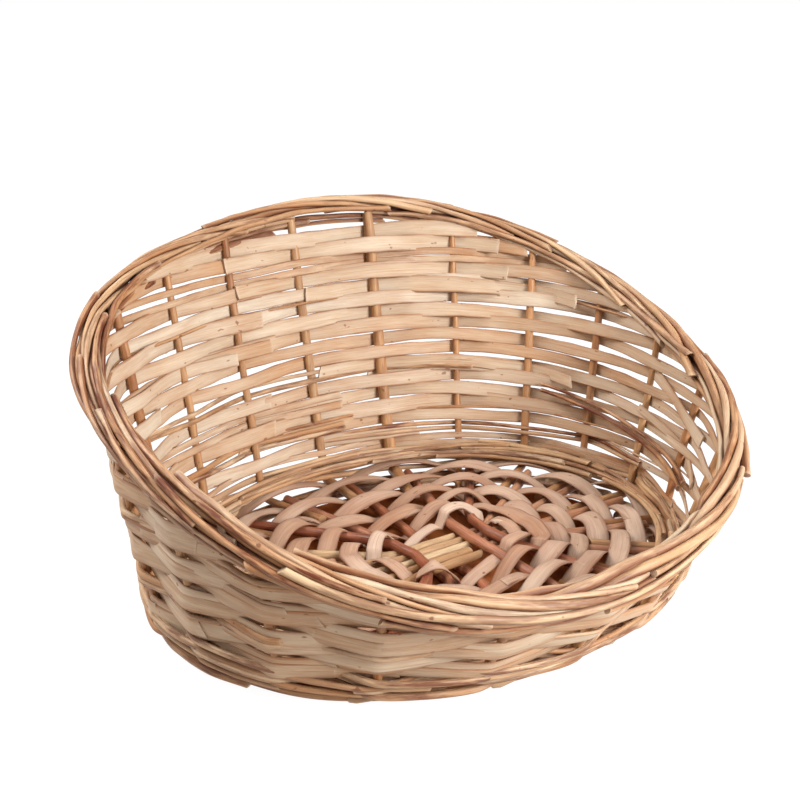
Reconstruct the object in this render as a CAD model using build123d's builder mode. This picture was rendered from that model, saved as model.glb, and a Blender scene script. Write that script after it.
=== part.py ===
from build123d import *
from math import cos, pi, radians, sin
import os

# Oval willow pet basket with a low front and a high back.
# Millimetres. +X runs along the long axis, -Y is the low front, +Z is up, and Z = 0 is the floor.
# Twenty stakes stand round the base. Each one starts as a butt on the base, beside the end of a
# base stick, turns up at the edge and stops under the border.

# --- driving dimensions -------------------------------------------------------------------
base_half_x = 180.0         # oval base at the floor
base_half_y = 141.0
base_centre = (-0.8, -2.6)
rim_half_x = 205.0          # centre line of the border
rim_half_y = 190.0
rim_centre = (-0.8, -2.2)
rim_height = 144.0          # height of that line at the middle of the basket
rim_slope = 0.357           # its rise for each millimetre towards the back
rim_skew = 0.043            # hand-made unevenness of the rim: one skew and two small lobes
rim_lobe_3 = 0.010
rim_lobe_4 = -0.012

stake_count = 20
stake_turn = radians(-3.7)  # direction of the first stake
stake_radius = 3.3
stake_bend = 5.0            # radius of the bend from the base to the wall
stake_butt = 58.0           # length of the stake that lies on the base
stake_below_rim = 12.5      # the border sits on top of the stakes

base_level = 12.5           # height of the base sticks' centre lines
stick_radius = 3.3
slath_centre = (15.0, -12.0)  # the slath is where the long and short sticks cross
slath_half_x = 38.0
slath_half_y = 22.0
long_pitch = 7.6            # spacing of the long sticks there
short_pitch = 15.4
slath_sag = 1.0             # the long sticks lie this much lower there
short_stick_lift = 6.9      # a short stick crosses this far over or under the long ones
short_stick_sides = [1, -1, -1, 1, 1]   # +1 over and -1 under, from -X to +X
fan_share = 0.2             # share of the way out where a stick is back on the base level
fan_bend = 12.0
pair_gap = 7.3              # between a stick and the stake butt beside it
stick_end_gap = 16.0        # a stick ends this far inside the wall

strip_thick = 1.6
strip_gap = 0.5             # clearance between a woven strip and the sticks or stakes
base_strip_wide = 10.8
base_rounds = [0.08, 0.235, 0.39, 0.545, 0.70, 0.855]   # place of each round along the fanned sticks
base_flat_half = 5.4        # half of the level run where a strip crosses a pair
base_seam_gap = 1.0         # between the two ends of a round
side_strip_high = 9.2
side_row_first = 30.0
side_row_pitch = 10.0
side_row_count = 17
row_below_rim = 16.0        # a row ends where the border comes closer than this
upsett_levels = [18.0, 22.6]
upsett_radius = 2.1
rod_sides = 8               # woven rods are straight runs with this many flats

border_rod_radius = 2.8
border_pitch = 5.9          # spacing of the rods in the border's bundle
foot_inset = 0.6
foot_outer_wide = 8.0       # width and height of the two rods of the foot
foot_outer_high = 9.0
foot_inner_wide = 5.6
foot_inner_high = 6.6
foot_gap = 0.4
foot_round = 1.8

ring_opening = 0.012        # the two ends of a woven ring stop this far apart, in radians
half_step = pi / stake_count
quarter = stake_count // 4
up = Vector(0, 0, 1)


# --- shape of the basket ------------------------------------------------------------------
def base_point(turn):
    """Point of the base oval on the floor."""
    x = base_centre[0] + base_half_x * cos(turn)
    y = base_centre[1] + base_half_y * sin(turn)
    return Vector(x, y, 0)


def rim_point(turn):
    """Point of the border's centre line, which lies in one sloping plane."""
    uneven = 1 + rim_skew * sin(2 * turn)
    uneven += rim_lobe_3 * (sin(3 * turn) - cos(3 * turn))
    uneven += rim_lobe_4 * (sin(4 * turn) + cos(4 * turn))
    across = rim_half_y * sin(turn) * uneven
    x = rim_centre[0] + rim_half_x * cos(turn) * uneven
    return Vector(x, rim_centre[1] + across, rim_height + rim_slope * across)


def wall_point(turn, level):
    """Point of the wall at a height, on the straight line from the base to the rim."""
    foot, rim = base_point(turn), rim_point(turn)
    return foot + (rim - foot) * (level / rim.Z)


def stake_angle(index):
    return stake_turn + 2 * half_step * index


def section_plane(curve, turn, lean, out=0.0, rise=0.0):
    """Plane square to a curve, with its x out of the basket and its y along lean."""
    small = 0.01
    along = (curve(turn + small) - curve(turn - small)).normalized()
    outward = along.cross(lean).normalized()
    origin = curve(turn) + outward * out + lean.normalized() * rise
    return Plane(origin=origin, x_dir=outward, z_dir=along)


def side_of(index, number):
    """+1 where a round or row passes outside or over a stake, -1 where it passes inside or under."""
    return 1 if (index + number) % 2 == 0 else -1


def export(piece, label):
    piece.part.label = label
    export_step(piece.part, f"parts/{label}.step")


# --- base ---------------------------------------------------------------------------------
def slath_corner(index):
    """Where the stick of a spoke leaves the slath, and its height there over the base level."""
    side, place = divmod((index + quarter // 2) % stake_count, quarter)
    step = place - quarter // 2
    corners = [(slath_half_x, step * long_pitch), (-step * short_pitch, slath_half_y),
               (-slath_half_x, -step * long_pitch), (step * short_pitch, -slath_half_y)]
    x, y = corners[side]
    short_column = (0, -step, 0, step)[side] + quarter // 2
    crossing_side = short_stick_sides[short_column] if side % 2 else 0
    lift = crossing_side * short_stick_lift - slath_sag
    return Vector(x + slath_centre[0], y + slath_centre[1], base_level), lift


def stick_half(index):
    """Corner, start of the level fan and end of the half stick that runs out along a spoke."""
    corner, lift = slath_corner(index)
    edge = wall_point(stake_angle(index), base_level)
    run = (edge - corner).normalized()
    end = edge - run * stick_end_gap + run.cross(up) * pair_gap
    fan = corner + (end - corner) * fan_share
    return corner + up * lift, fan, end


def opposite(index):
    """Spoke at the other end of the same stick."""
    side, place = divmod((index + quarter // 2) % stake_count, quarter)
    across = (side + 2) % 4 * quarter + quarter - 1 - place
    return (across - quarter // 2) % stake_count


def make_base_stick(index, label):
    corner_a, fan_a, end_a = stick_half(index)
    corner_b, fan_b, end_b = stick_half(opposite(index))
    with BuildPart() as stick:
        with BuildLine():
            path = FilletPolyline(end_a, fan_a, corner_a, corner_b, fan_b, end_b, radius=fan_bend)
        with BuildSketch(Plane(origin=path @ 0, z_dir=path % 0)):
            Circle(stick_radius)
        sweep(path=path)
    export(stick, label)


def crossing(index, place):
    """Middle of a spoke's pair where a round crosses it, and the spoke's direction outwards."""
    _, fan, end = stick_half(index)
    run = (end - fan).normalized()
    return fan + (end - fan) * place + up.cross(run) * (pair_gap / 2), run


def make_base_round(place, number, label):
    """Flat strip that goes over one spoke and under the next, all the way round."""
    rise = stick_radius + strip_thick / 2 + strip_gap
    stations = []
    for index in range(stake_count):
        middle, run = crossing(index, place)
        middle += up * rise * side_of(index, number)
        across = up.cross(run)
        stations.append((middle - across * base_flat_half, run))
        stations.append((middle + across * base_flat_half, run))
    first_run = stations[0][1]
    seam = (stations[0][0] + stations[-1][0]) * 0.5
    half_opening = up.cross(first_run) * (base_seam_gap / 2)
    stations.insert(0, (seam + half_opening, first_run))
    stations.append((seam - half_opening, first_run))
    with BuildPart() as ring:
        for origin, run in stations:
            with BuildSketch(Plane(origin=origin, x_dir=run, z_dir=up.cross(run))):
                Rectangle(base_strip_wide, strip_thick)
        loft(ruled=True)
    export(ring, label)


def make_foot_rod(outer_inset, wide, high, label):
    half_x, half_y = base_half_x - outer_inset, base_half_y - outer_inset
    with BuildPart() as rod:
        with BuildSketch(Plane(base_centre)):
            Ellipse(half_x, half_y)
            Ellipse(half_x - wide, half_y - wide, mode=Mode.SUBTRACT)
        extrude(amount=high)
        fillet(rod.edges(), radius=foot_round)
    export(rod, label)


# --- side ---------------------------------------------------------------------------------
def make_stake(index, label):
    _, fan, end = stick_half(index)
    inward = (fan - end).normalized()
    edge = wall_point(stake_angle(index), base_level)
    top = rim_point(stake_angle(index))
    rise = (top - edge).normalized()
    with BuildPart() as stake:
        with BuildLine():
            path = FilletPolyline(edge + inward * stake_butt, edge, top - rise * stake_below_rim,
                                  radius=stake_bend)
        with BuildSketch(Plane(origin=path @ 0, z_dir=path % 0)):
            Circle(stake_radius)
        sweep(path=path)
    export(stake, label)


def row_steps(level):
    """Half-steps round the basket, out both ways from the back, where a row has room."""
    back = round((pi / 2 - stake_turn) / half_step)
    ends = []
    for direction in (-1, 1):
        step = back
        while abs(step - back) < stake_count:
            turn = stake_turn + (step + direction) * half_step
            if rim_point(turn).Z - level < row_below_rim:
                break
            step += direction
        ends.append(step)
    return list(range(ends[0], ends[1] + 1))


def make_row(level, number, profile, reach, label):
    """One row of the wall: it passes each stake on the other side from the one before."""
    steps = row_steps(level)
    if len(steps) > 2 * stake_count:
        steps = [step + 1 - steps[0] % 2 for step in steps]
    stations = []
    for step in steps:
        swing = 0 if step % 2 else reach * side_of(step // 2, number)
        stations.append([stake_turn + step * half_step, swing])
    if len(steps) > 2 * stake_count:
        stations[-1][0] -= ring_opening
    with BuildPart() as row:
        for turn, swing in stations:
            lean = rim_point(turn) - base_point(turn)
            plane = section_plane(lambda t: wall_point(t, level), turn, lean, out=swing)
            with BuildSketch(plane):
                profile()
        loft(ruled=True)
    export(row, label)


def make_border_rods(places, label):
    """Rods of the border that lie side by side, each at its own place in the bundle."""
    lean = Vector(0, -rim_slope, 1)
    with BuildPart() as rods:
        for out, rise in places:
            for step in range(2 * stake_count + 1):
                turn = stake_turn + step * half_step
                if step == 2 * stake_count:
                    turn -= ring_opening
                plane = section_plane(rim_point, turn, lean, out * border_pitch,
                                      rise * border_pitch)
                with BuildSketch(plane):
                    RegularPolygon(border_rod_radius, rod_sides)
            loft(ruled=True)
    export(rods, label)


def strip_profile():
    Rectangle(strip_thick, side_strip_high)


def rod_profile():
    RegularPolygon(upsett_radius, rod_sides)


# --- build --------------------------------------------------------------------------------
os.makedirs("parts", exist_ok=True)

for count in range(quarter):
    make_base_stick(count - quarter // 2, f"long_base_stick_{count + 1}")
    make_base_stick(count + quarter // 2 + 1, f"short_base_stick_{count + 1}")

for number, place in enumerate(base_rounds):
    make_base_round(place, number, f"base_round_{number + 1}")

make_foot_rod(foot_inset, foot_outer_wide, foot_outer_high, "foot_rod_outer")
make_foot_rod(foot_inset + foot_outer_wide + foot_gap, foot_inner_wide, foot_inner_high,
              "foot_rod_inner")

for index in range(stake_count):
    make_stake(index, f"stake_{index + 1:02d}")

for number, level in enumerate(upsett_levels):
    reach = stake_radius + upsett_radius + strip_gap
    make_row(level, number, rod_profile, reach, f"upsett_rod_{number + 1}")

for number in range(side_row_count):
    reach = stake_radius + strip_thick / 2 + strip_gap
    level = side_row_first + number * side_row_pitch
    make_row(level, number, strip_profile, reach, f"side_row_{number + 1:02d}")

bundle_rise = 3 ** 0.5 / 2  # rods lie in a close hexagon: six round one
make_border_rods([(1, 0), (0.5, -bundle_rise)], "border_rods_outer")
make_border_rods([(0, 0), (0.5, bundle_rise), (-0.5, bundle_rise)], "border_rods_top")
make_border_rods([(-1, 0), (-0.5, -bundle_rise)], "border_rods_inner")
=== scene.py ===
import math
import bpy
import numpy as np
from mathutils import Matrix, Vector


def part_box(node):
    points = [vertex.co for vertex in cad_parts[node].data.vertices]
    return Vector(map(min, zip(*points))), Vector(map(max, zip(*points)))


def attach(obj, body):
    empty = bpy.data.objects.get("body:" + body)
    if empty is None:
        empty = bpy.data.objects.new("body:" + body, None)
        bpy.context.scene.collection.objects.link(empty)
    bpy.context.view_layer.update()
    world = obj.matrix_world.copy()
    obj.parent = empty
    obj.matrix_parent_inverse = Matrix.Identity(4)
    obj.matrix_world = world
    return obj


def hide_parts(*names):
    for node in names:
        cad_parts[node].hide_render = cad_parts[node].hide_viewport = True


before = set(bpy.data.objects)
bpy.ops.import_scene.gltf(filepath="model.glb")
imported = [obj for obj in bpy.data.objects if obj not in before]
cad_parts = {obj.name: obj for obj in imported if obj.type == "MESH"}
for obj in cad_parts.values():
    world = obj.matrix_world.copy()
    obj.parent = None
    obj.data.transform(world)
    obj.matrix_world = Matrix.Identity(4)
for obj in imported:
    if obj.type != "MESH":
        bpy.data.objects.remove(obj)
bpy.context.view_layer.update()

# Wicker pet bed basket: every strip, rod and stick is a strand of its own, woven round the stakes.
# Metres. +X is the long axis, -Y the low front, +Z up. A turn is a direction round the oval in
# radians, and a place is the same counted in stake spacings from the first stake.

MM = 0.001

# --- the basket's shape, as in the CAD model ---
STAKES = 20
QUARTER = STAKES // 4
STEP = 2 * math.pi / STAKES
FIRST_TURN = math.radians(-3.7)        # direction of the first stake
FOOT_INSET = 0.6 * MM                  # the outer foot rod lies this far inside the base oval
RIM_HALF = (205 * MM, 190 * MM)        # the rim is the border's centre line
RIM_MIDDLE = (-0.8 * MM, -2.2 * MM)
RIM_HEIGHT = 144 * MM                  # at the middle of the basket
RIM_SLOPE = 0.357                      # its rise for each metre towards the back
RIM_SKEW, RIM_LOBE_3, RIM_LOBE_4 = 0.043, 0.010, -0.012
BASE_LEVEL = 12.5 * MM                 # height of the base sticks
SLATH_CENTRE = (15 * MM, -12 * MM)     # the slath is where the long and short sticks cross
SLATH_HALF = (38 * MM, 22 * MM)
LONG_PITCH, SHORT_PITCH = 7.6 * MM, 15.4 * MM
SLATH_SAG, SHORT_LIFT = 1.0 * MM, 6.9 * MM
SHORT_SIDES = (1, -1, -1, 1, 1)        # a short stick passes over or under the long ones
PAIR_GAP, STICK_END_GAP, FAN_SHARE = 7.3 * MM, 16 * MM, 0.2
BUTT_LENGTH = 58 * MM
UP = np.array([0.0, 0.0, 1.0])

foot_low, foot_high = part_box("foot_rod_outer")
BASE_HALF = ((foot_high.x - foot_low.x) / 2 + FOOT_INSET, (foot_high.y - foot_low.y) / 2 + FOOT_INSET)
BASE_MIDDLE = ((foot_high.x + foot_low.x) / 2, (foot_high.y + foot_low.y) / 2)


def add_object(name, data):
    thing = bpy.data.objects.new(name, data)
    bpy.context.scene.collection.objects.link(thing)
    return thing


def unit(v):
    return v / np.maximum(np.linalg.norm(v, axis=-1, keepdims=True), 1e-9)


def base_point(turn):
    turn = np.asarray(turn, float)
    x = BASE_MIDDLE[0] + BASE_HALF[0] * np.cos(turn)
    y = BASE_MIDDLE[1] + BASE_HALF[1] * np.sin(turn)
    return np.stack([x, y, 0 * turn], -1)


def rim_point(turn):
    turn = np.asarray(turn, float)
    uneven = 1 + RIM_SKEW * np.sin(2 * turn)
    uneven += RIM_LOBE_3 * (np.sin(3 * turn) - np.cos(3 * turn))
    uneven += RIM_LOBE_4 * (np.sin(4 * turn) + np.cos(4 * turn))
    across = RIM_HALF[1] * np.sin(turn) * uneven
    x = RIM_MIDDLE[0] + RIM_HALF[0] * np.cos(turn) * uneven
    return np.stack([x, RIM_MIDDLE[1] + across, RIM_HEIGHT + RIM_SLOPE * across], -1)


def wall_point(turn, level):
    foot, rim = base_point(turn), rim_point(turn)
    share = np.asarray(level, float) / rim[..., 2]
    return foot + (rim - foot) * share[..., None]


def wall_frame(turn):
    """Direction up the wall and direction out of it."""
    rise = unit(rim_point(turn) - base_point(turn))
    along = unit((rim_point(turn + 0.01) - rim_point(turn - 0.01)) * [1, 1, 0])
    return rise, unit(np.cross(along, rise))


def rim_frame(turn):
    """Direction out of the rim within its plane, and the direction square to that plane."""
    along = unit(rim_point(turn + 0.01) - rim_point(turn - 0.01))
    square = unit(np.array([0, -RIM_SLOPE, 1.0]))
    return unit(np.cross(along, square)), np.broadcast_to(square, along.shape)


def turn_at(place):
    return FIRST_TURN + STEP * np.asarray(place, float)


def place_at(degrees):
    return (math.radians(degrees) - FIRST_TURN) / STEP


def places_past(place, other):
    """How far place lies past other: from half of the way round behind it to half ahead of it."""
    return (np.asarray(place, float) - other + STAKES / 2) % STAKES - STAKES / 2


# --- strands ---
STRIP_SIDES = 14
ROD_SIDES = 11
LUMPS = 4                              # bands round a strand that swell and shrink on their own
LUMP_SWELL, LUMP_LENGTH = 0.07, 13 * MM
CUT_LENGTH = 1.5 * MM                  # how far the colour of a cut end reaches
SHARP_ANGLE = math.radians(50)


def wander(rng, where, size):
    """Smooth noise from -1 to 1 along a strand. size is the length of one bump."""
    where = np.asarray(where, float)
    values = rng.uniform(-1, 1, int(np.ceil((where.max() - where.min()) / size)) + 4)
    spot = (where - where.min()) / size + 1
    low = np.floor(spot).astype(int)
    part = spot - low
    part = part * part * (3 - 2 * part)
    return values[low] * (1 - part) + values[low + 1] * part


def spline(a, b, c, d, t):
    """Catmull-Rom curve from b to c, with t from 0 to 1."""
    return 0.5 * (2 * b + (c - a) * t + (2 * a - 5 * b + 4 * c - d) * t ** 2
                  + (3 * b - a - 3 * c + d) * t ** 3)


def smooth_line(points, spacing=2.5 * MM):
    """Smooth curve through points, sampled evenly."""
    points = np.asarray(points, float)
    ends = np.vstack([2 * points[0] - points[1], points, 2 * points[-1] - points[-2]])
    parts = []
    for near in zip(ends, ends[1:], ends[2:], ends[3:]):
        count = max(1, int(round(np.linalg.norm(near[2] - near[1]) / spacing)))
        parts.append(spline(*near, np.linspace(0, 1, count, endpoint=False)[:, None]))
    return np.vstack(parts + [points[-1:]])


def bent_line(points, radius, run=9 * MM):
    """Straight runs with rounded corners."""
    points = [np.asarray(point, float) for point in points]
    stops = [points[0]]
    for before, corner, after in zip(points, points[1:], points[2:]):
        reach = min(radius, 0.45 * np.linalg.norm(corner - before), 0.45 * np.linalg.norm(after - corner))
        entry = corner - unit(corner - before) * reach
        leave = corner + unit(after - corner) * reach
        stops += [entry, (entry + leave + 2 * corner) / 4, leave]
    stops.append(points[-1])
    dense = [stops[0]]
    for start, stop in zip(stops, stops[1:]):
        count = max(1, int(np.linalg.norm(stop - start) / run))
        dense += [start + (stop - start) * (step + 1) / count for step in range(count)]
    return smooth_line(dense)


def lengths(line):
    return np.concatenate([[0], np.cumsum(np.linalg.norm(np.diff(line, axis=0), axis=1))])


def section(kind):
    """Outline of a strand's cross-section, from -1 to 1 across and out."""
    if kind == "rod":
        angle = np.arange(ROD_SIDES) * 2 * math.pi / ROD_SIDES
        return np.cos(angle), np.sin(angle)
    angle = (np.arange(STRIP_SIDES) + 0.5) * 2 * math.pi / STRIP_SIDES
    across = np.sign(np.cos(angle)) * np.abs(np.cos(angle)) ** 0.35
    out = np.sign(np.sin(angle)) * np.abs(np.sin(angle)) ** 0.5
    return across, out


class Piece:
    """Collects strands into one mesh object. Each point's shade holds its depth of colour, with painted
    shade on one side when asked for, bark, nearness to a cut end, and how near it is to a strip's edge or
    how much a rod faces its core, which the material darkens as painted crease shade."""

    def __init__(self, name):
        self.name = name
        self.verts, self.faces, self.skins, self.fibre, self.shade = [], [], [], [], []
        self.count = 0

    def strand(self, rng, line, lean, wide, thick, kind="strip", skin=0, roll=0.0, cup=0.0, tone=0.0,
               painted_side_shade=0.0, bark=0.0, slant=0.0, core=None):
        """A strip or rod along a line, with its width in the direction lean, and with painted shade on
        the side that faces a core, where it lies in the crease between rods.
        The side shade argument paints shade on one side: how much deeper the outer side is than the inner
        side, so that below 0 the inner side is the deeper one. slant is how slanted its cuts are."""
        line = np.asarray(line, float)
        count = len(line)
        ones = np.ones(count)
        along = unit(np.gradient(line, axis=0))
        out = unit(np.cross(along, np.broadcast_to(lean, line.shape)))
        across = np.cross(out, along)
        roll = (roll * ones)[:, None]
        across, out = (across * np.cos(roll) + out * np.sin(roll),
                       out * np.cos(roll) - across * np.sin(roll))
        px, py = section(kind)
        sides = len(px)
        far = lengths(line)
        half_wide, half_thick = wide * ones / 2, thick * ones / 2
        lump = 1 + LUMP_SWELL * np.stack([wander(rng, far, LUMP_LENGTH) for _ in range(LUMPS)], 1)
        lump = lump[:, np.arange(sides) * LUMPS // sides]
        x = px * half_wide[:, None] * lump
        y = py * half_thick[:, None] * lump + cup * half_wide[:, None] * (1 - px ** 2)
        verts = line[:, None] + across[:, None] * x[..., None] + out[:, None] * y[..., None]
        for end, sign in ((0, -1), (-1, 1)):
            verts[end] += along[end] * (slant * sign * x[end])[:, None]
        ring = np.arange(sides)
        start = self.count + np.arange(count - 1)[:, None] * sides
        a, b = start + ring, start + (ring + 1) % sides
        faces = np.stack([a, b, b + sides, a + sides], -1).reshape(-1, 4).tolist()
        faces.append((self.count + ring[::-1]).tolist())
        faces.append((self.count + (count - 1) * sides + ring).tolist())
        self.faces += faces
        self.skins += [skin] * len(faces)
        self.verts.append(verts.reshape(-1, 3))
        seed = rng.uniform(0, 10)
        girth = np.hypot(np.diff(px) * half_wide.mean(), np.diff(py) * half_thick.mean())
        fibre = np.empty((count, sides, 3))
        fibre[..., 0] = far[:, None] + seed
        fibre[..., 1] = np.concatenate([[0], np.cumsum(girth)])
        fibre[..., 2] = seed * 3.7
        self.fibre.append(fibre.reshape(-1, 3))
        shade = np.empty((count, sides, 4))
        # Depth of colour, with painted shade on one side of a strip when asked for.
        shade[..., 0] = np.clip(0.5 + 0.5 * (tone + painted_side_shade * np.sign(py)), 0, 1)
        shade[..., 1] = np.clip(bark * ones, 0, 1)[:, None]
        shade[..., 2] = np.exp(-np.minimum(far, far[-1] - far) / CUT_LENGTH)[:, None]
        shade[..., 3] = np.abs(px) ** 6 if kind == "strip" else 0.0
        # Painted shade: how much a rod faces its core, so that its side in the crease between rods is
        # darkened.
        if core is not None:
            facing = (unit(verts - line[:, None]) * unit(line - core)[:, None]).sum(-1)
            shade[..., 3] = np.clip((0.35 - facing) / 0.5, 0, 1)
        self.shade.append(shade.reshape(-1, 4))
        self.count += count * sides

    def build(self, materials, slot, *nodes):
        mesh = bpy.data.meshes.new(self.name)
        mesh.from_pydata(np.vstack(self.verts).tolist(), [], self.faces)
        fibre = mesh.attributes.new("fibre", "FLOAT_VECTOR", "POINT")
        fibre.data.foreach_set("vector", np.vstack(self.fibre).astype(np.float32).ravel())
        shade = mesh.attributes.new("shade", "FLOAT_COLOR", "POINT")
        shade.data.foreach_set("color", np.vstack(self.shade).astype(np.float32).ravel())
        for material in materials:
            mesh.materials.append(material)
        mesh.polygons.foreach_set("material_index", self.skins)
        mesh.polygons.foreach_set("use_smooth", np.ones(len(mesh.polygons), bool))
        mesh.set_sharp_from_angle(angle=SHARP_ANGLE)
        mesh.update()
        piece = add_object(self.name, mesh)
        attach(piece, "root")
        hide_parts(*nodes)


# --- materials ---
def set_inputs(node, values):
    for label, value in values.items():
        node.inputs[label].default_value = value


def willow(name, pale, warm, deep, bark, rough, streak, edge_and_crease_shade_strength):
    """Bare willow: long fibres, dark veins, knots and stains of bark, darker strip edges, and painted
    shade in the creases where rods meet.
    """
    material = bpy.data.materials.new("willow_" + name)
    material.use_nodes = True
    nodes, links = material.node_tree.nodes, material.node_tree.links
    shader = nodes["Principled BSDF"]
    fibre = nodes.new("ShaderNodeAttribute")
    fibre.attribute_name = "fibre"
    shade = nodes.new("ShaderNodeAttribute")
    shade.attribute_name = "shade"
    split = nodes.new("ShaderNodeSeparateColor")
    links.new(shade.outputs["Color"], split.inputs["Color"])
    tone_in, bark_in, cut_in = split.outputs["Red"], split.outputs["Green"], split.outputs["Blue"]
    edge_and_crease_shade = shade.outputs["Alpha"]

    def put(socket, value):
        if isinstance(value, bpy.types.NodeSocket):
            links.new(value, socket)
        else:
            socket.default_value = (*value, 1) if isinstance(value, tuple) else value

    def noise(scale, detail=2.0, roughness=0.5):
        stretch = nodes.new("ShaderNodeMapping")
        set_inputs(stretch, {"Scale": scale})
        links.new(fibre.outputs["Vector"], stretch.inputs["Vector"])
        texture = nodes.new("ShaderNodeTexNoise")
        set_inputs(texture, {"Scale": 1.0, "Detail": detail, "Roughness": roughness})
        links.new(stretch.outputs["Vector"], texture.inputs["Vector"])
        return texture.outputs["Fac"]

    def ramp(value, *limits):
        """Map a range to another one, or to 0 to 1 if only the first is given."""
        node = nodes.new("ShaderNodeMapRange")
        set_inputs(node, dict(zip(("From Min", "From Max", "To Min", "To Max"), limits)))
        links.new(value, node.inputs["Value"])
        return node.outputs["Result"]

    def maths(operation, a, b):
        node = nodes.new("ShaderNodeMath")
        node.operation = operation
        put(node.inputs[0], a)
        put(node.inputs[1], b)
        return node.outputs["Value"]

    def mix(amount, a, b):
        node = nodes.new("ShaderNodeMix")
        node.data_type = "RGBA"
        put(node.inputs["Factor"], amount)
        put(node.inputs["A"], a)
        put(node.inputs["B"], b)
        return node.outputs["Result"]

    patches = noise((22, 40, 1))
    fibres = noise((50, 1700, 1), 3, 0.6)
    veins = noise((16, 800, 2))
    knots = noise((150, 260, 3), 1)
    stains = noise((36, 260, 5), 3, 0.65)
    each = noise((0.5, 0, 1.3), 0)
    colour = mix(ramp(each, 0.38, 0.62), pale, warm)
    depth = maths("ADD", ramp(patches, 0.3, 0.7, 0, 0.45), ramp(tone_in, 0, 1, -0.35, 0.4))
    depth = maths("ADD", depth, ramp(fibres, 0.35, 0.7, 0, 0.4 * streak))
    # Deeper colour along strip edges, and painted shade in the creases where rods meet.
    depth = maths("ADD", depth, maths("MULTIPLY", edge_and_crease_shade, ramp(veins, 0.4, 0.6, 0.1, 0.45)))
    colour = mix(ramp(depth, 0, 1), colour, deep)
    colour = mix(ramp(veins, 0.62, 0.72, 0, 0.5 * streak), colour, deep)
    colour = mix(maths("MULTIPLY", bark_in, ramp(stains, 0.4, 0.6)), colour, bark)
    colour = mix(ramp(knots, 0.735, 0.775, 0, 0.7), colour, bark)
    # Mixed towards the bark colour along strip edges, and as painted crease shade where rods meet.
    colour = mix(maths("MULTIPLY", edge_and_crease_shade, ramp(stains, 0.25, 0.6, 0.55 * edge_and_crease_shade_strength, edge_and_crease_shade_strength)), colour, bark)
    colour = mix(ramp(cut_in, 0.3, 0.9, 0, 0.3), colour, pale)
    links.new(colour, shader.inputs["Base Color"])
    links.new(ramp(fibres, 0.3, 0.7, rough - 0.08, rough + 0.12), shader.inputs["Roughness"])
    set_inputs(shader, {"Specular IOR Level": 0.35})
    bump = nodes.new("ShaderNodeBump")
    set_inputs(bump, {"Strength": 0.55, "Distance": 0.3 * MM})
    links.new(maths("ADD", fibres, ramp(veins, 0.5, 0.75, 0, 0.8)), bump.inputs["Height"])
    links.new(bump.outputs["Normal"], shader.inputs["Normal"])
    return material


# Colours when pale, warm, deep and under bark, then roughness, the strength of fibres, and the strength
# of the darker strip edges and painted crease shade.
STRIP = willow("strip", (0.70, 0.61, 0.48), (0.64, 0.52, 0.38), (0.49, 0.26, 0.12),
               (0.22, 0.065, 0.018), 0.55, 1.0, 0.75)
BASE_STRIP = willow("base_strip", (0.63, 0.47, 0.36), (0.56, 0.39, 0.28), (0.36, 0.16, 0.08),
                    (0.12, 0.035, 0.014), 0.55, 0.8, 0.7)
ROD = willow("rod", (0.65, 0.50, 0.34), (0.59, 0.39, 0.22), (0.40, 0.18, 0.07),
             (0.13, 0.03, 0.01), 0.45, 1.0, 0.85)
STAKE = willow("stake", (0.60, 0.38, 0.20), (0.54, 0.29, 0.13), (0.36, 0.14, 0.05),
               (0.11, 0.03, 0.011), 0.42, 0.9, 0.8)
LIGHT_STICK = willow("light_stick", (0.62, 0.45, 0.27), (0.55, 0.35, 0.18), (0.35, 0.16, 0.06),
                     (0.13, 0.04, 0.016), 0.45, 0.9, 0.8)
PINK_STICK = willow("pink_stick", (0.58, 0.32, 0.19), (0.50, 0.24, 0.13), (0.30, 0.09, 0.035),
                    (0.10, 0.02, 0.01), 0.4, 1.0, 0.8)
DARK_STICK = willow("dark_stick", (0.50, 0.23, 0.13), (0.42, 0.15, 0.07), (0.25, 0.055, 0.02),
                    (0.08, 0.015, 0.008), 0.36, 1.0, 0.8)
WALL_SKINS = (STRIP, ROD)


# --- stakes and sticks ---
THICK_STAKE = 4                        # one stake at the back is much thicker than the rest
shape_rng = np.random.default_rng(11)
stake_size = 2.95 * MM * (1 + 0.13 * shape_rng.uniform(-1, 1, STAKES))
stake_size[THICK_STAKE] = 4.2 * MM
stake_sway = shape_rng.uniform(-1, 1, (STAKES, 2))[:, 0] * MM
BEND = ((5, 0), (1.6, 1.8), (0, 6))    # points inward of the edge and up the wall, in millimetres


def spoke(index):
    """Where a spoke's stick leaves the slath, its lift there, and its column among short sticks."""
    side, count = divmod((index + QUARTER // 2) % STAKES, QUARTER)
    step = count - QUARTER // 2
    corners = [(SLATH_HALF[0], step * LONG_PITCH), (-step * SHORT_PITCH, SLATH_HALF[1]),
               (-SLATH_HALF[0], -step * LONG_PITCH), (step * SHORT_PITCH, -SLATH_HALF[1])]
    column = (0, -step, 0, step)[side] + QUARTER // 2
    lift = (SHORT_SIDES[column] * SHORT_LIFT if side % 2 else 0.0) - SLATH_SAG
    x, y = corners[side]
    return np.array([x + SLATH_CENTRE[0], y + SLATH_CENTRE[1], BASE_LEVEL]), lift, column


def stick_half(index):
    corner, lift, _ = spoke(index)
    edge = wall_point(turn_at(index), BASE_LEVEL)
    run = unit(edge - corner)
    end = edge - run * STICK_END_GAP + np.cross(run, UP) * PAIR_GAP
    return corner + UP * lift, corner + (end - corner) * FAN_SHARE, end


def opposite(index):
    side, count = divmod((index + QUARTER // 2) % STAKES, QUARTER)
    return ((side + 2) % 4 * QUARTER + QUARTER - 1 - count - QUARTER // 2) % STAKES


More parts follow.
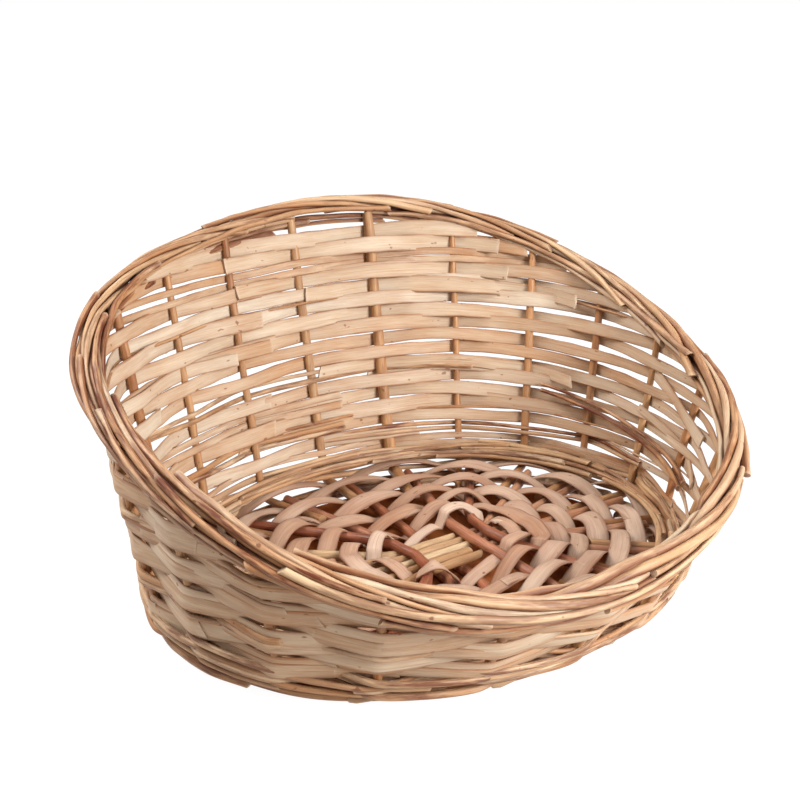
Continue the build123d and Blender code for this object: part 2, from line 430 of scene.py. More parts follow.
def build_stakes():
    for index in range(STAKES):
        rng = np.random.default_rng(100 + index)
        _, fan, end = stick_half(index)
        turn = turn_at(index)
        edge = wall_point(turn, BASE_LEVEL)
        inward = unit(fan - end)
        top = rim_point(turn)
        rise, out = wall_frame(turn)
        span = np.linalg.norm(top - edge)
        side = np.cross(out, rise)
        points = [edge + inward * BUTT_LENGTH * share + rng.uniform(-0.5, 0.5, 3) * MM
                  for share in (1.0, 0.66, 0.33)]
        points += [edge + (inward * along + rise * up) * MM for along, up in BEND]
        for share in (0.16, 0.3, 0.44, 0.58, 0.72, 0.86):
            sway = side * stake_sway[index] * math.sin(3 * share + index)
            points.append(edge + rise * span * share + sway + rng.uniform(-0.3, 0.3, 3) * MM)
        points.append(top - rise * 5 * MM)
        line = smooth_line(points)
        far = lengths(line)
        size = 2 * stake_size[index] * (1.06 - 0.14 * far / far[-1] + 0.05 * wander(rng, far, 40 * MM))
        piece = Piece(f"stake_{index + 1:02d}_willow")
        piece.strand(rng, line, np.cross(inward, UP), size, size, "rod", tone=rng.uniform(-0.8, 0.8),
                     bark=0.4, slant=rng.uniform(-0.6, 0.6))
        piece.build([STAKE], "stake", f"stake_{index + 1:02d}")


# --- side rows ---
CHORD_SAG = 0.9 * MM                   # depth of the oval between two stakes
ROW_SPACING = 58 * MM                  # length of willow from stake to stake
ROW_STEP = 2.6 * MM                    # length of a strand's mesh faces
ROW_DIP = 15 * MM                      # how far the high rows fall on the right
RIGHT_THINNER = 0.55                   # share by which the strips are narrower there
PACKED_WIDER = 0.14
ROW_TUCKS = {-1: 6 * MM, 1: 3 * MM}    # how close a row's start and end come to the rim's line
LAP = 1.4                              # overlap of two lengths of willow, in stake spacings
SHEET = 1.1 * MM                       # thickness of the strip that a second strip lies on
PACKED = (place_at(160), place_at(305))  # the left and front, where the rows are woven double
PACKED_TOP = 120 * MM
# Slanting strips by row, in stake spacings and mm: start, length, rise per spacing and width.
SLANTED = {4: (-1.8, 1.8, 12, 10), 7: (-1.5, 1.5, 15, 16)}
# Strips with a free end by row: start and width.
FREE_ENDS = {4: (8.2, 10), 7: (1.55, 11), 10: (5.6, 10), 13: (0.6, 13), 14: (1.62, 11), 16: (1.75, 12.5)}


def packed(place):
    """1 where the rows are woven double, 0 elsewhere."""
    off = np.abs(places_past(place, sum(PACKED) / 2))
    return np.clip((PACKED[1] - PACKED[0]) / 2 + 0.5 - off, 0, 1)


def right_side(place):
    """1 at the front right, falling to 0 past the middle of the front and at the back right."""
    return np.interp(places_past(place, 0), [-6.5, -3.0, 3.0], [0, 1, 0])


def dip(place, level):
    """On the right the rows fall a little towards the low front, the high rows most."""
    return -ROW_DIP * right_side(place) * np.clip((level - 24 * MM) / (90 * MM), 0, 1)


def reach_at(place, thick):
    """How far a strand's middle must stand off the wall line to pass a stake."""
    index = np.round(np.asarray(place, float)).astype(int) % STAKES
    return stake_size[index] + thick / 2


def weave(place, number, sharp=0.97):
    """+1 outside and -1 inside at alternate stakes, nearly straight between them."""
    wave = np.cos(math.pi * (np.asarray(place, float) + number))
    return np.arcsin(sharp * wave) / math.asin(sharp)


def slack(place):
    """How far a strand pulled straight from stake to stake falls inside the oval."""
    part = np.asarray(place, float) % 1
    return -4 * CHORD_SAG * part * (1 - part)


def middle_height(node):
    low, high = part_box(node)
    return (low.z + high.z) / 2


def row_reach(level):
    """First and last place at which a row has room under the border."""
    back = place_at(90)
    ends = []
    for direction in (-1, 1):
        place = back
        tuck = level + ROW_TUCKS[direction]
        while abs(place - back) < STAKES / 2 and rim_point(turn_at(place))[2] > tuck + dip(place, level):
            place += direction * 0.02
        ends.append(place)
    return ends


def cut_into_lengths(rng, first, last, number):
    """Starts and stops of the lengths in one row. Each starts inside and stops outside."""
    row = []
    start = first
    while True:
        inside = math.ceil(start + rng.uniform(5, 11))
        if (inside + number) % 2 == 0:
            inside += 1
        if inside + 2 > last:
            return row + [(start, last)]
        row.append((start, inside + LAP - 0.3 + rng.uniform(0, 0.15)))
        start = inside - rng.uniform(0.2, 0.45)


def woven(piece, rng, number, level, start, stop, wide, thick, kind="strip", skin=0, layer=0.0,
          slope=0.0, lap_start=0.0, lap_stop=0.0, free=0.0, **look):
    """One strand of a row, outside one stake and inside the next."""
    place = np.linspace(start, stop, int((stop - start) * ROW_SPACING / ROW_STEP) + 2)
    far = (place - start) * ROW_SPACING
    share = far / far[-1]
    drift = wander(rng, far, 50 * MM) * 1.2 * MM + wander(rng, far, 170 * MM) * 1.4 * MM
    height = level + drift + slope * (place - start) + dip(place, level)
    lap = lap_stop * np.clip(1 - (stop - place) / LAP, 0, 1) ** 0.3
    lap = lap - lap_start * np.clip(1 - (place - start) / LAP, 0, 1) ** 0.3
    swing = weave(place, number) * reach_at(place, thick) + lap * 0.8 * MM + layer
    swing = swing + wander(rng, far, 35 * MM) * 0.35 * MM + slack(place)
    swing = swing - free * np.clip(1 - (place - start) / 0.55, 0, 1) ** 1.4
    turn = turn_at(place)
    rise, out = wall_frame(turn)
    line = wall_point(turn, height) + out * swing[:, None]
    size = wide * (1 + 0.09 * wander(rng, far, 60 * MM)) * (1 - rng.uniform(0.05, 0.2) * share)
    size = size * (1 + PACKED_WIDER * packed(place) - RIGHT_THINNER * right_side(place))
    if kind == "rod":
        piece.strand(rng, line, rise, size, size, "rod", skin, slant=rng.uniform(-0.9, 0.9), **look)
        return
    roll = -0.13 + 0.12 * wander(rng, far, 45 * MM)
    # Painted shade: the inner side of each wall strip is made deeper in colour than its outer side.
    piece.strand(rng, line, rise, size, thick, "strip", skin, roll=roll, cup=rng.uniform(0.03, 0.13),
                 painted_side_shade=-0.15, slant=rng.uniform(-0.45, 0.45), **look)


def build_length(piece, rng, number, level, start, stop, laps):
    """One length of willow in a row: a strip, a split strip, a strip edged with a rod, or two rods."""
    style = rng.choice(["strip"] * 13 + ["split"] * 3 + ["edged"] * 4 + ["rods"] * 2)

    def lay(height, wide, thick, *kind, **look):
        woven(piece, rng, number, level + height * MM, start, stop, wide * MM, thick * MM, *kind,
              lap_start=laps[0], lap_stop=laps[1], **look)

    if style == "rods":
        for side in (-1, 1):
            lay(side * 2.4, rng.uniform(3.2, 4.4), 3.6, "rod", 1,
                tone=rng.uniform(-0.6, 0.8), bark=rng.uniform(0.2, 1))
        return
    if style == "split":
        for side in (-1, 1):
            lay(side * 2.8, rng.uniform(5, 6.2), 1.2, tone=rng.uniform(-0.8, 0.6), bark=0.3)
        return
    wide = rng.uniform(10.4, 12.6)
    if style == "edged":
        side = rng.choice([-1, 1])
        wide *= 0.85
        lay(side * 5.2, rng.uniform(2.4, 3.4), 2.8, "rod", 1,
            tone=rng.uniform(-0.4, 1), bark=rng.uniform(0.3, 0.9))
    lay(0, wide, rng.uniform(1.1, 1.45), tone=rng.uniform(-0.9, 0.5), bark=0.12)


def build_single(piece, rng, number, level, reach):
    """The row itself, from end to end under the border, or all the way round with a lap."""
    first, last = reach
    if last - first > STAKES - 0.1:
        first = rng.integers(0, STAKES) - 0.4
        last = first + STAKES + LAP
    row = cut_into_lengths(rng, first, last, number)
    for bit, (start, stop) in enumerate(row):
        build_length(piece, rng, number, level, start, stop, (bit > 0, bit < len(row) - 1))


def build_double(piece, rng, number, level, reach):
    """Two more strips that close the gaps of a low row on the left and front."""
    start, stop = PACKED[0] + rng.uniform(-1.5, 0.5), PACKED[1] + rng.uniform(-0.5, 1.5)
    offset = rng.choice([-1, 1]) * rng.uniform(2.6, 4.2) * MM
    if reach[1] < start + STAKES:
        stop = min(stop, row_reach(level + offset)[1])
    if level >= PACKED_TOP or stop - start <= 2:
        return
    middle = (start + stop) / 2 + rng.uniform(-1, 1)
    for first, last in ((start, middle + 0.6), (middle, stop)):
        if last - first > 1.2:
            wide = rng.uniform(8.5, 11) * MM
            woven(piece, rng, number, level + offset, first, last, wide, 1.2 * MM,
                  layer=rng.choice([-1, 1]) * SHEET, tone=rng.uniform(-0.5, 0.9), bark=0.25)


def build_loose_strips(piece, rng, number, level):
    if number + 1 in FREE_ENDS:
        start, wide = FREE_ENDS[number + 1]
        start += (number + round(start)) % 2
        slope = rng.uniform(0.4, 1.4) * MM
        woven(piece, rng, number, level - 2.5 * MM, start - 0.35, start + 3.4, wide * MM, 1.6 * MM,
              layer=-2 * SHEET, slope=slope, free=6 * MM, tone=-0.7, bark=0.1)
    if number + 1 in SLANTED:
        start, spacings, slope, wide = SLANTED[number + 1]
        woven(piece, rng, number, level, start, start + spacings, wide * MM, 1.3 * MM,
              layer=-2 * SHEET, slope=slope * MM, tone=-0.5, bark=0.1)


def build_rows():
    number = 0
    while f"side_row_{number + 1:02d}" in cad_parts:
        node = f"side_row_{number + 1:02d}"
        rng = np.random.default_rng(300 + number)
        level = middle_height(node)
        reach = row_reach(level)
        piece = Piece(node + "_willow")
        build_single(piece, rng, number, level, reach)
        build_double(piece, rng, number, level, reach)
        build_loose_strips(piece, rng, number, level)
        piece.build(WALL_SKINS, "strip", node)
        number += 1


# --- upsett ---
UPSETT_SPACING = 52 * MM               # length of willow from stake to stake
UPSETT_STEPS = 22                      # mesh steps from stake to stake
LOOSE_RODS = 13
# Loose rods on top: direction of the start in degrees, length in stake spacings, level in mm.
TOP_RODS = ((78, 2.6, 27), (92, 1.8, 24), (120, 2.0, 26), (140, 2.4, 23), (36, 2.4, 27), (60, 1.6, 24),
            (10, 2.2, 25), (158, 2.0, 27))
# Two brown rods that climb along the right: the same, the rise per spacing and the thickness in mm.
BROWN_RODS = ((-32, 3.3, 46, 8, 4.2), (-32, 3.3, 50.5, 8, 3.4))
WALE_SHARP = 1.8                       # how quickly a rod of the upsett crosses between two stakes


def wale(piece, rng, level, first, spacings, phase, size):
    """A thin rod that passes outside two stakes and inside the next."""
    place = np.linspace(first, first + spacings, int(spacings * UPSETT_STEPS))
    far = (place - first) * UPSETT_SPACING
    wave = np.tanh(-WALE_SHARP * np.cos(2 * math.pi * (place - phase) / 3)) / math.tanh(WALE_SHARP)
    swing = wave * (stake_size.mean() + size / 2) + wander(rng, far, 45 * MM) * 0.9 * MM + slack(place)
    height = level + 1.4 * MM * np.sin(2 * math.pi * (place - phase) / 3)
    height = height + wander(rng, far, 60 * MM) * 1.6 * MM
    turn = turn_at(place)
    rise, out = wall_frame(turn)
    line = wall_point(turn, height) + out * swing[:, None]
    thick = size * (1.08 - 0.32 * (place - first) / spacings)
    piece.strand(rng, line, rise, thick, thick, "rod", tone=rng.uniform(-0.9, 1),
                 bark=rng.uniform(0.2, 0.9), slant=rng.uniform(-1, 1))


def loose_rod(piece, rng, degrees, spacings, level, slope, size, inset=0.0, tone=None, bark=None):
    """A cut rod that lies against the inside of the wall."""
    place = place_at(degrees) + np.linspace(0, spacings, int(spacings * UPSETT_STEPS))
    far = (place - place[0]) * UPSETT_SPACING
    turn = turn_at(place)
    rise, out = wall_frame(turn)
    stand = inset + stake_size.mean() + size * 1.1 + 0.8 * MM * wander(rng, far, 40 * MM)
    line = wall_point(turn, level + slope * (place - place[0])) - out * stand[:, None]
    thick = size * (1 - 0.25 * far / far[-1])
    if tone is None:
        tone = rng.uniform(-0.9, 0.9)
        bark = rng.uniform(0.2, 0.8)
    piece.strand(rng, line, rise, thick, thick, "rod", tone=tone, bark=bark, slant=rng.uniform(-1, 1))


def build_upsett():
    for number in range(2):
        node = f"upsett_rod_{number + 1}"
        rng = np.random.default_rng(500 + number)
        level = middle_height(node)
        piece = Piece(node + "_willow")
        for strand in range(5):
            first = rng.uniform(0, STAKES)
            for part in range(2):
                wale(piece, rng, level + (strand - 2) * 2.5 * MM, first + part * 10, 10.7, strand,
                     rng.uniform(3.5, 4.6) * MM)
        for index in range(LOOSE_RODS):
            degrees = 360 * (index + number / 2) / LOOSE_RODS + rng.uniform(-9, 9)
            loose_rod(piece, rng, degrees, rng.uniform(2.2, 3.6), rng.uniform(17, 23) * MM,
                      rng.uniform(-0.8, 0.8) * MM, rng.uniform(3.2, 4.4) * MM, rng.uniform(0, 9) * MM)
        if number == 1:
            for degrees, spacings, high in TOP_RODS:
                loose_rod(piece, rng, degrees, spacings, high * MM, rng.uniform(-2, 2) * MM,
                          rng.uniform(3.4, 4.8) * MM)
            for degrees, spacings, high, slope, size in BROWN_RODS:
                loose_rod(piece, rng, degrees, spacings, high * MM, slope * MM, size * MM,
                          tone=1.0, bark=2.0)
        piece.build([ROD], "rod", node)


# --- border ---
STATIONS = 4                           # points per stake spacing on a rod of the border
SETTLE_ROUNDS, FREE_ROUNDS = 70, 8     # the rods only push each other in the last rounds
BROWN_AND_SHADED_SIDE = -165 * MM                 # left of here the border rods are deeper and more red in colour, partly their own colour and partly painted shade for the dim left side
CORE_REACH = 5.8 * MM                  # how far the long rods stand off the rim's line
BORDER_FRONT = (place_at(195), place_at(330))
BORDER_RIGHT, RIGHT_HALF = -4, 3.5     # the front right, where fewer and thicker rods roll over
ROLLED_ALL, ROLLED_FRONT = 25, 9
# Rods along the inside at the back: direction in degrees, length in stake spacings, depth in mm.
INSIDE_RODS = ((56, 3.2, 9), (62, 3.4, 12.5), (84, 3.4, 9), (92, 3.2, 12), (116, 3.2, 9), (126, 3.2, 13))
# Rods that stand off the outside: direction in degrees, length in stake spacings, and how far in mm.
BULGING_RODS = ((146, 2.2, 3), (164, 2.2, 3.5), (176, 2.0, 4), (194, 2.6, 2), (30, 2.4, 1))


class Bundle:
    """Rods that lie along the rim and make room for each other."""

    def __init__(self, rng):
        self.rng = rng
        self.rods = []

    def add(self, piece, start, spacings, angles, radius, size, bulge=0.0):
        """A rod that turns slowly round the rim's line, from one angle to another: 0 is outward,
        90 up and 180 inward."""
        count = max(5, round(spacings * STATIONS) + 1)
        share = np.linspace(0, 1, count)
        angle = np.radians(angles[0] + (angles[1] - angles[0]) * share)
        angle += self.rng.uniform(-0.14, 0.14, count)
        reach = radius + self.rng.uniform(-0.6, 0.6, count) * MM + bulge * np.sin(math.pi * share) ** 2
        spots = np.stack([reach * np.cos(angle), reach * np.sin(angle)], -1)
        where = (round(start * STATIONS) + np.arange(count)) % (STAKES * STATIONS)
        self.rods.append((piece, where, spots, size * (1.1 - 0.35 * share)))

    def settle(self):
        """Push the rods apart at every station, and keep each one even along its length."""
        count, stations = len(self.rods), STAKES * STATIONS
        aim = np.zeros((count, stations, 2))
        aim[..., 0] = np.arange(1, count + 1)[:, None]
        half = np.zeros((count, stations))
        here = np.zeros((count, stations), bool)
        for index, (_, where, spots, thick) in enumerate(self.rods):
            aim[index, where] = spots
            half[index, where] = thick / 2
            here[index, where] = True
        both = here & np.roll(here, 1, 1) & np.roll(here, -1, 1)
        room = half[:, None] + half[None]
        room[np.arange(count), np.arange(count)] = 0
        spots = aim.copy()
        for step in range(SETTLE_ROUNDS):
            apart = spots[:, None] - spots[None]
            far = np.linalg.norm(apart, axis=-1) + 1e-9
            push = np.clip(room - far, 0, None) / far
            spots += 0.3 * (push[..., None] * apart).sum(1)
            if step < SETTLE_ROUNDS - FREE_ROUNDS:
                middle = (np.roll(spots, 1, 1) + np.roll(spots, -1, 1)) / 2
                spots = np.where(both[..., None], spots + 0.22 * (middle - spots), spots)
                spots += 0.05 * (aim - spots)
        return spots

    def build(self):
        rng = self.rng
        settled = self.settle()
        for index, (piece, where, _, thick) in enumerate(self.rods):
            turn = turn_at(where / STATIONS)
            out, square = rim_frame(turn)
            across, up = settled[index, where].T
            points = rim_point(turn) + out * across[:, None] + square * up[:, None]
            line = smooth_line(points, 3 * MM)
            far = lengths(line)
            size = np.interp(far / far[-1], np.linspace(0, 1, len(thick)), thick)
            size = size * (1 + 0.16 * wander(rng, far, 20 * MM))
            rim = rim_point(np.interp(far / far[-1], np.linspace(0, 1, len(turn)), np.unwrap(turn)))
            # Left rods: deeper colour and more bark, partly their own colour and partly painted shade for
            # the side the lights reach less.
            brown_and_shade = 0.9 if line[:, 0].mean() < BROWN_AND_SHADED_SIDE else 0.0
            piece.strand(rng, line, square[0], size, size, "rod", tone=rng.uniform(-1, 0.8) + brown_and_shade,
                         bark=rng.uniform(0.1, 0.8) + brown_and_shade / 2, slant=rng.uniform(-1.2, 1.2), core=rim)


def build_border():
    """Long rods along the rim, short ones that roll over the top, and loose ones on both sides."""
    rng = np.random.default_rng(700)
    inner, top, outer = (Piece(f"border_rods_{side}_willow") for side in ("inner", "top", "outer"))
    bundle = Bundle(rng)
    for start in np.arange(0, STAKES, 4.0):
        for angle in (182, 226):
            bundle.add(inner, start + rng.uniform(-1.5, 1.5), rng.uniform(4.3, 5.2),
                       (angle - 14, angle + 14), CORE_REACH, rng.uniform(3.6, 4.6) * MM)
        for angle in (80, 260):
            bundle.add(top, start + rng.uniform(-1.5, 1.5), 4.6, (angle, angle + 30),
                       1.6 * MM, 4.0 * MM)
        for angle in (0, -46):
            bundle.add(outer, start + rng.uniform(-1.5, 1.5), rng.uniform(4.3, 5.2),
                       (angle + 14, angle - 14), CORE_REACH, rng.uniform(3.6, 4.6) * MM)
    for start in np.linspace(*BORDER_FRONT, 5):
        bundle.add(outer, start - 1.5 + rng.uniform(-0.4, 0.4), rng.uniform(3.6, 4.6),
                   (-55, -85), 8 * MM, rng.uniform(3.2, 4.0) * MM)
    rolled = np.hstack([np.arange(ROLLED_ALL) * STAKES / ROLLED_ALL,
                        np.linspace(*BORDER_FRONT, ROLLED_FRONT)])
    for number, start in enumerate(rolled):
        right = abs(places_past(start, BORDER_RIGHT)) < RIGHT_HALF
        if right and number % 2:
            continue
        bundle.add(top, start + rng.uniform(-0.3, 0.3), rng.uniform(2.3, 3.4),
                   (rng.uniform(175, 210), rng.uniform(-30, 30)), rng.uniform(5.2, 6.0) * MM,
                   rng.uniform(3.4, 4.7) * MM * (1.25 if right else 1))
    for degrees, spacings, depth in INSIDE_RODS:
        bundle.add(inner, place_at(degrees), spacings, (260, 266), depth * MM,
                   rng.uniform(3.4, 4.2) * MM)
    for degrees, spacings, bulge in BULGING_RODS:
        bundle.add(outer, place_at(degrees), spacings, (40, -40), 6.2 * MM,
                   rng.uniform(3.0, 3.8) * MM, bulge * MM)
    bundle.build()
    inner.build([ROD], "rod", "border_rods_inner")
    top.build([ROD], "rod", "border_rods_top")
    outer.build([ROD], "rod", "border_rods_outer")


# --- base ---
LONG_CUT = SLATH_CENTRE[0] + 11 * MM   # the pale sticks' ends stop beside the next dark stick
LONG_RESTART = SLATH_CENTRE[0] + 26 * MM
ROUND_SHARES = (0.08, 0.215, 0.35, 0.485, 0.62, 0.755, 0.885)  # place of each round along the spokes
ROUND_STEPS = 18                       # mesh steps from spoke to spoke
OVER_SHARE = 0.76                      # part of the way to the next spoke that a base strip stays up
OVER_HEIGHT, UNDER_HEIGHT = 3.2 * MM, 4.4 * MM   # of a strip's middle, off the sticks' middle
FLOAT_HEIGHT, FLOAT_DROP = 7.5 * MM, 1.5 * MM
OPEN_GAP = 26 * MM                     # where spokes are this far apart, a strip arches fully
FLOATS = {0: (0, 3, 7, 10, 13, 17), 1: (1, 9, 11, 18, 19), 3: (9,)}  # by round: spokes passed over
# Strips along the edge: direction in degrees, length in spokes, width in mm.
EDGE_STRIPS = ((92, 8.2, 14), (236, 7, 9), (358, 6, 10))


def build_long_stick(rng, number):
    """A long stick in two parts, pale on the left and pinker on the right."""
    right = number - QUARTER // 2
    corner_a, fan_a, end_a = stick_half(right)
    corner_b, fan_b, end_b = stick_half(opposite(right))
    across = (corner_b - corner_a) / (corner_a[0] - corner_b[0])
    cut = corner_a + across * (corner_a[0] - LONG_CUT)
    cut = cut + np.array([rng.uniform(-2, 3) * MM, 0, 1.5 * MM])
    restart = corner_a + across * (corner_a[0] - LONG_RESTART)
    left = (end_b, fan_b, corner_b + UP * 1.2 * MM, cut)
    piece = Piece(f"long_base_stick_{number + 1}_willow")
    for skin, points in enumerate((left, (restart, corner_a, fan_a, end_a))):
        line = bent_line(points, 10 * MM)
        thick = rng.uniform(6.2, 7.0) * MM * (1 + 0.06 * wander(rng, lengths(line), 35 * MM))
        piece.strand(rng, line, UP, thick, thick * 0.9, "rod", skin, tone=rng.uniform(-1, 0.4),
                     bark=0.3, slant=rng.uniform(-0.7, 0.7))
    piece.build([LIGHT_STICK, PINK_STICK], "base_stick_light", f"long_base_stick_{number + 1}")


def build_short_stick(rng, number):
    back = number + QUARTER // 2 + 1
    corner_a, _, end_a = stick_half(back)
    corner_b, _, end_b = stick_half(opposite(back))
    line = bent_line((end_a, corner_a, corner_b, end_b), 30 * MM)
    thick = rng.uniform(7.0, 7.8) * MM * (1 + 0.05 * wander(rng, lengths(line), 35 * MM))
    tone = 0.9 if spoke(back)[2] == 0 else rng.uniform(-1, 0)
    piece = Piece(f"short_base_stick_{number + 1}_willow")
    piece.strand(rng, line, UP, thick, thick, "rod", tone=tone, bark=0.5, slant=rng.uniform(-0.6, 0.6))
    piece.build([DARK_STICK], "base_stick_dark", f"short_base_stick_{number + 1}")


def build_base_sticks():
    for number in range(QUARTER):
        rng = np.random.default_rng(800 + number)
        build_long_stick(rng, number)
        build_short_stick(rng, number)


def ring_line(middles, place):
    """Smooth closed curve through the middles of the spokes, at places counted in spokes."""
    low = np.floor(place).astype(int)
    near = (middles[(low + step) % STAKES] for step in (-1, 0, 1, 2))
    return spline(*near, (place - low)[:, None])


def build_base_round(piece, rng, number, share, wide, first, spacings, floats=()):
    """A strip over one spoke and under the next, apart from the spokes it floats over."""
    middles = []
    for index in range(STAKES):
        corner, _, end = stick_half(index)
        middle = corner + (end - corner) * share + np.cross(UP, unit(end - corner)) * PAIR_GAP / 2
        middles.append(middle + rng.uniform(-1, 1, 3) * [1.2 * MM, 1.2 * MM, 0])
    middles = np.array(middles)
    place = np.linspace(first, first + spacings, int(spacings * ROUND_STEPS))
    line = ring_line(middles, place)
    crown = 2 * np.round((place + number) / 2) - number
    away = np.abs(place - crown)
    lift = rng.uniform(2.8, 6.2, STAKES) * MM
    gap = np.linalg.norm(np.roll(middles, -1, 0) - np.roll(middles, 1, 0), axis=1) / 2
    lift *= np.clip(gap / OPEN_GAP, 0.3, 1.0)
    arch = lift[crown.astype(int) % STAKES] + OVER_HEIGHT
    over = np.cos(np.clip(away / OVER_SHARE, 0, 1) * math.pi / 2) ** 0.85
    under = np.sin(np.clip((away - OVER_SHARE) / (1 - OVER_SHARE), 0, 1) * math.pi / 2)
    height = over * arch - under * UNDER_HEIGHT
    for index in floats:
        off = places_past(place, index)
        floating = FLOAT_HEIGHT - FLOAT_DROP * off ** 2
        height = np.where(np.abs(off) < 1, np.maximum(height, floating), height)
    line[:, 2] += np.convolve(np.pad(height, 2, "edge"), np.ones(5) / 5, "valid")
    along = unit(np.gradient(line, axis=0) * [1, 1, 0])
    far = lengths(line)
    size = wide * (1 + 0.1 * wander(rng, far, 60 * MM))
    piece.strand(rng, line, np.cross(UP, along), size, 1.25 * MM, "strip", cup=0.05,
                 roll=0.24 * wander(rng, far, 40 * MM), tone=rng.uniform(-0.9, 0.4), bark=0.15,
                 slant=rng.uniform(-0.3, 0.3))


def build_base_rounds():
    """Each round is two strips. The innermost round shares a piece with the next one."""
    for ring, share in enumerate(ROUND_SHARES):
        rng = np.random.default_rng(900 + ring)
        if ring != 1:
            piece = Piece(f"base_round_{max(ring, 1)}_willow")
        start = rng.uniform(0, STAKES)
        half = rng.uniform(9, 12)
        floats = FLOATS.get(ring, ())
        wide = rng.uniform(12, 14.5) * MM * (0.7 if ring == 0 else 1)
        build_base_round(piece, rng, ring + 1, share, wide, start, half, floats)
        build_base_round(piece, rng, ring + 1, share, wide * rng.uniform(0.9, 1.1), start + half - 0.7,
                         STAKES - half + 1.6, floats)
        if share == ROUND_SHARES[-1]:
            for degrees, spacings, wide in EDGE_STRIPS:
                build_base_round(piece, rng, ring, 1.04, wide * MM, place_at(degrees), spacings)
        if ring > 0:
            piece.build([BASE_STRIP], "strip", f"base_round_{ring}")


# --- foot ---
HOOKED = (place_at(226), place_at(395))  # the front and right, where short rods hook round each other
# Piece, how far its rods lie inside the base oval and how thick they are, in millimetres.
FOOT_RODS = (("foot_rod_outer", 1.6, 7.4), ("foot_rod_inner", 9.6, 6.0))


def foot_point(place, depth, height):
    """Point inside the edge of the base oval by a depth."""
    edge = base_point(turn_at(place))
    point = edge + unit(np.array([*BASE_MIDDLE, 0.0]) - edge) * depth
    return point + UP * height


def hooked_line(start, stop, thick, out):
    """From under the base round the edge at start, and back in at stop."""
    return bent_line((foot_point(start + 0.1, 20 * MM, 0.9 * thick),
                      foot_point(start, thick / 2 - out, 0.6 * thick),
                      foot_point(stop, 0.9 * thick, 0.6 * thick),
                      foot_point(stop + 0.24, 1.4 * thick, 0.9 * thick)), 4 * MM)


def plain_line(start, stop, thick, inset):
    """Along the edge, rising at the start to lie on the end of the rod before."""
    points = []
    for share in np.linspace(0, 1, 9):
        depth = inset + 3.4 * MM * max(0, 1 - share / 0.25)
        height = 0.53 * thick + 2.6 * MM * max(0, 1 - share / 0.3) ** 1.5
        points.append(foot_point(start + (stop - start) * share, depth, height))
    return smooth_line(points)


def build_foot():
    for number, (node, inset, size) in enumerate(FOOT_RODS):
        rng = np.random.default_rng(950 + number)
        piece = Piece(node + "_willow")
        start = HOOKED[0]
        while start < HOOKED[0] + STAKES - 0.2:
            hooked = start < HOOKED[1] and number == 0
            spacings = rng.uniform(0.66, 0.9) if hooked else rng.uniform(3.4, 4.6)
            thick = size * MM
            if hooked:
                thick *= rng.uniform(0.8, 0.92)
                line = hooked_line(start, start + spacings, thick, rng.uniform(4.8, 6.4) * MM)
            else:
                line = plain_line(start - 0.35, start + spacings + 0.35, thick, inset * MM)
            far = lengths(line)
            thick = thick * (0.84 + 0.18 * far / far[-1]) * (1 + 0.05 * wander(rng, far, 25 * MM))
            tone = rng.uniform(-1, -0.4) if hooked else rng.uniform(0.5, 1)
            piece.strand(rng, line, UP, thick, thick, "rod", tone=tone, bark=0.25 if hooked else 0.8,
                         slant=rng.uniform(-1, 1))
            start += spacings
        piece.build([ROD], "rod", node)


# --- studio ---
CAMERA_TURN, CAMERA_RISE = math.radians(-35.4), math.radians(19.1)
CAMERA_DISTANCE, CAMERA_LENS = 0.719, 51.75
CAMERA_AIM = Vector((-18.7 * MM, 0.7 * MM, 121.7 * MM))
SENSOR_WIDTH = 36
# Name, place, size, power and colour of each light.
LIGHTS = (("key", (0.23, -0.94, 0.52), 0.5, 16.0, (1.0, 1.0, 1.0)),
          ("fill", (-0.55, 0.50, 0.95), 0.7, 12.5, (1.0, 0.98, 0.95)))
FLOOR_HALF = 300.0
FLOOR_GREY, FLOOR_GLOW = (0.1, 0.1, 0.1), 0.96
SHADE_HALF = 0.9                       # size of the painted shadow sheet under the basket, as a part of the base
# Painted shadow: a dark reddish sheet on the floor under the basket, so that the floor seen through the
# base looks shaded.
SHADE_HEIGHT, PAINTED_SHADOW_COLOUR = 0.2 * MM, (0.42, 0.13, 0.04)
# Direction from straight down at 0 to straight up at 1, and the light from there.
SKY = ((0.49, (0.66, 0.49, 0.36)), (0.5, (1, 1, 1)), (0.515, (1, 1, 1)), (0.55, (0.27, 0.27, 0.27)),
       (0.75, (0.42, 0.42, 0.42)), (1.0, (0.95, 0.95, 0.95)))


def build_stage_part(name, points, colour, glow):
    mesh = bpy.data.meshes.new(name)
    mesh.from_pydata(points, [], [tuple(range(len(points)))])
    part = add_object(name, mesh)
    material = bpy.data.materials.new("studio_" + name)
    material.use_nodes = True
    set_inputs(material.node_tree.nodes["Principled BSDF"],
               {"Base Color": (*colour, 1), "Roughness": 1.0, "Specular IOR Level": 0.0,
                "Emission Color": (1, 1, 1, 1), "Emission Strength": glow})
    mesh.materials.append(material)
    return part


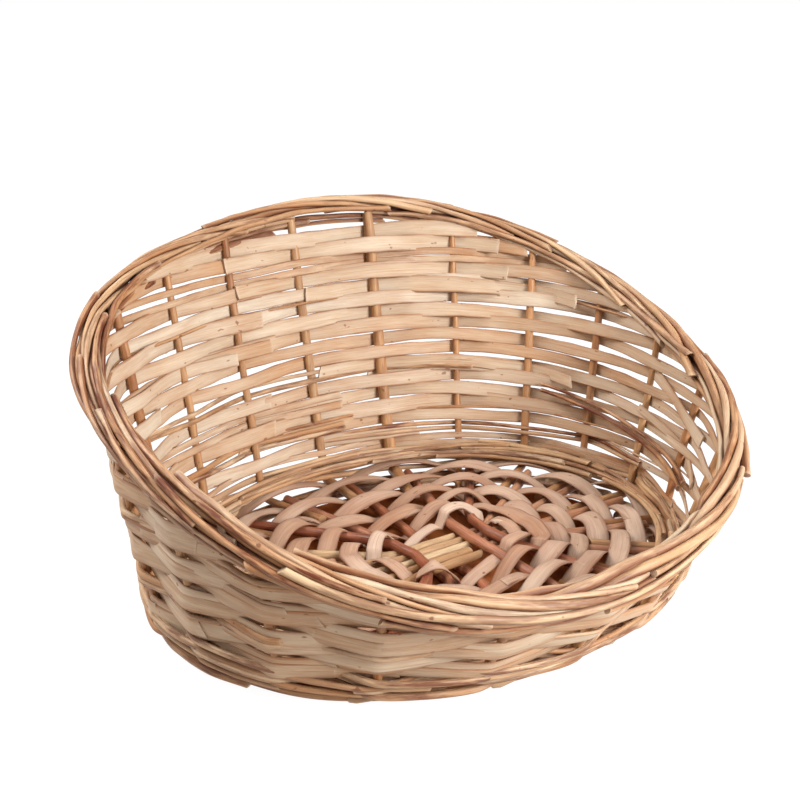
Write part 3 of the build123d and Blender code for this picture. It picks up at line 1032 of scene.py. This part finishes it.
def build_floor():
    """White floor with a light of its own, and a dark sheet under the basket as painted shadow."""
    far = FLOOR_HALF
    corners = [(-far, -far, 0), (far, -far, 0), (far, far, 0), (-far, far, 0)]
    floor = build_stage_part("floor", corners, FLOOR_GREY, FLOOR_GLOW)
    floor.visible_diffuse = False
    middle = np.array([*BASE_MIDDLE, 0])
    around = base_point(np.linspace(0, 2 * math.pi, 96, endpoint=False))
    around = middle + SHADE_HALF * (around - middle) + UP * SHADE_HEIGHT
    # Painted shadow under the basket.
    build_stage_part("shade", around.tolist(), PAINTED_SHADOW_COLOUR, 0.0)


def build_world():
    """Soft sky that is white only right at the horizon, and warm from below."""
    world = bpy.data.worlds.new("studio")
    world.use_nodes = True
    nodes, links = world.node_tree.nodes, world.node_tree.links
    place = nodes.new("ShaderNodeTexCoord")
    height = nodes.new("ShaderNodeSeparateXYZ")
    level = nodes.new("ShaderNodeMapRange")
    set_inputs(level, {"From Min": -1})
    light = nodes.new("ShaderNodeValToRGB")
    stops = light.color_ramp.elements
    while len(stops) < len(SKY):
        stops.new(0.5)
    for stop, (position, colour) in zip(stops, SKY):
        stop.position = position
        stop.color = (*colour, 1)
    links.new(place.outputs["Generated"], height.inputs["Vector"])
    links.new(height.outputs["Z"], level.inputs["Value"])
    links.new(level.outputs["Result"], light.inputs["Fac"])
    links.new(light.outputs["Color"], nodes["Background"].inputs["Color"])
    set_inputs(nodes["Background"], {"Strength": 1.0})
    bpy.context.scene.world = world


def build_studio():
    back = Vector((math.sin(CAMERA_TURN) * math.cos(CAMERA_RISE),
                   -math.cos(CAMERA_TURN) * math.cos(CAMERA_RISE), math.sin(CAMERA_RISE)))
    camera = add_object("camera", bpy.data.cameras.new("camera"))
    camera.data.lens = CAMERA_LENS
    camera.data.sensor_width = SENSOR_WIDTH
    camera.data.clip_start = 0.01
    camera.data.clip_end = 2 * FLOOR_HALF
    camera.location = CAMERA_AIM + back * CAMERA_DISTANCE
    camera.rotation_euler = back.to_track_quat("Z", "Y").to_euler()
    bpy.context.scene.camera = camera
    for name, place, size, power, colour in LIGHTS:
        light = add_object(name, bpy.data.lights.new(name, "AREA"))
        light.data.shape = "DISK"
        light.data.size = size
        light.data.energy = power
        light.data.color = colour
        light.location = place
        light.rotation_euler = (Vector(place) - CAMERA_AIM).to_track_quat("Z", "Y").to_euler()
    bpy.context.scene.view_settings.view_transform = "Standard"


build_studio()
build_floor()
build_world()
build_stakes()
build_rows()
build_upsett()
build_border()
build_base_sticks()
build_base_rounds()
build_foot()
